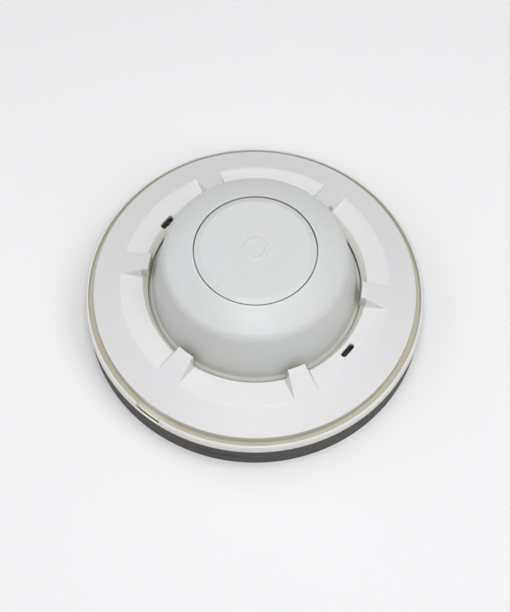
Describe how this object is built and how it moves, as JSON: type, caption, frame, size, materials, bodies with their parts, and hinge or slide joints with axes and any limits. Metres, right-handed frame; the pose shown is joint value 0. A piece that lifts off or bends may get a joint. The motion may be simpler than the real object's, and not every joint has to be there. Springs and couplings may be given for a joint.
{
  "type": "heat detector",
  "caption": "Round ceiling heat detector: a smooth domed sensing head with an inset disc, in a ribbed snap-in trim ring on a twist-lock mounting base.",
  "frame": {"origin": "centre of the ceiling face, at the back of the mounting skirt", "axes": "+Z from the ceiling face towards the dome, +X and +Y across the base, the wider pair of mounting slots lying on X"},
  "size_m": [0.156, 0.156, 0.0543],
  "materials": {
    "skirt_plastic": "moulded dark grey, satin",
    "base_plastic": "moulded white, satin",
    "ring_plastic": "moulded white, fine spark-eroded texture",
    "dome_plastic": "moulded light grey-white, smooth satin",
    "disc_plastic": "moulded light grey-white, smooth satin",
    "chassis_plastic": "moulded black, matt",
    "post_plastic": "natural nylon",
    "seal_rubber": "black foam rubber",
    "contact_brass": "stamped strip",
    "plated_steel": "zinc plated",
    "spring_steel": "bright strip",
    "tinned_metal": "tinned",
    "collector_aluminium": "turned",
    "board_laminate": "green solder mask",
    "chip_epoxy": "moulded epoxy",
    "bead_epoxy": "dipped epoxy",
    "varistor_epoxy": "dipped epoxy",
    "capacitor_sleeve": "shrink sleeve",
    "capacitor_ceramic": "fired, dull",
    "switch_glass": "clear green glass",
    "led_epoxy": "tinted clear epoxy",
    "pipe_plastic": "smoked clear"
  },
  "bodies": {
    "base": {"mounting_skirt": "skirt_plastic", "base_pan": "base_plastic", "terminal_contacts": "contact_brass", "wire_clamps": "plated_steel", "terminal_screws": "plated_steel", "detent_spring": "spring_steel"},
    "trim_ring": {"trim_ring": "ring_plastic"},
    "head": {"dome_cover": "dome_plastic", "sensing_disc": "disc_plastic", "dome_gasket": "seal_rubber", "chassis": "chassis_plastic", "cover_screws": "plated_steel", "contact_blades": "contact_brass", "blade_rivets": "tinned_metal", "heat_collector": "collector_aluminium", "thermistor_bead": "bead_epoxy", "thermistor_leads": "tinned_metal", "thermistor_post": "post_plastic", "circuit_board": "board_laminate", "controller": "chip_epoxy", "controller_pins": "tinned_metal", "bridge_rectifier": "chip_epoxy", "alarm_thyristor": "chip_epoxy", "surge_varistor": "varistor_epoxy", "electrolytic_capacitors": "capacitor_sleeve", "ceramic_capacitors": "capacitor_ceramic", "resistors": "chip_epoxy", "clock_crystal": "tinned_metal", "reed_switch": "switch_glass", "reed_leads": "tinned_metal", "reference_thermistor": "bead_epoxy", "status_leds": "led_epoxy", "light_pipes": "pipe_plastic"}
  },
  "joints": [
    {"name": "head_twist", "type": "hinge", "parent": "base", "child": "head", "pos_m": [0, 0, 0.0084], "axis": [0, 0, 1], "range_deg": [0, 18]},
    {"name": "trim_ring_lift", "type": "slide", "parent": "base", "child": "trim_ring", "axis": [0, 0, 1], "range_m": [0, 0.045]}
  ]
}
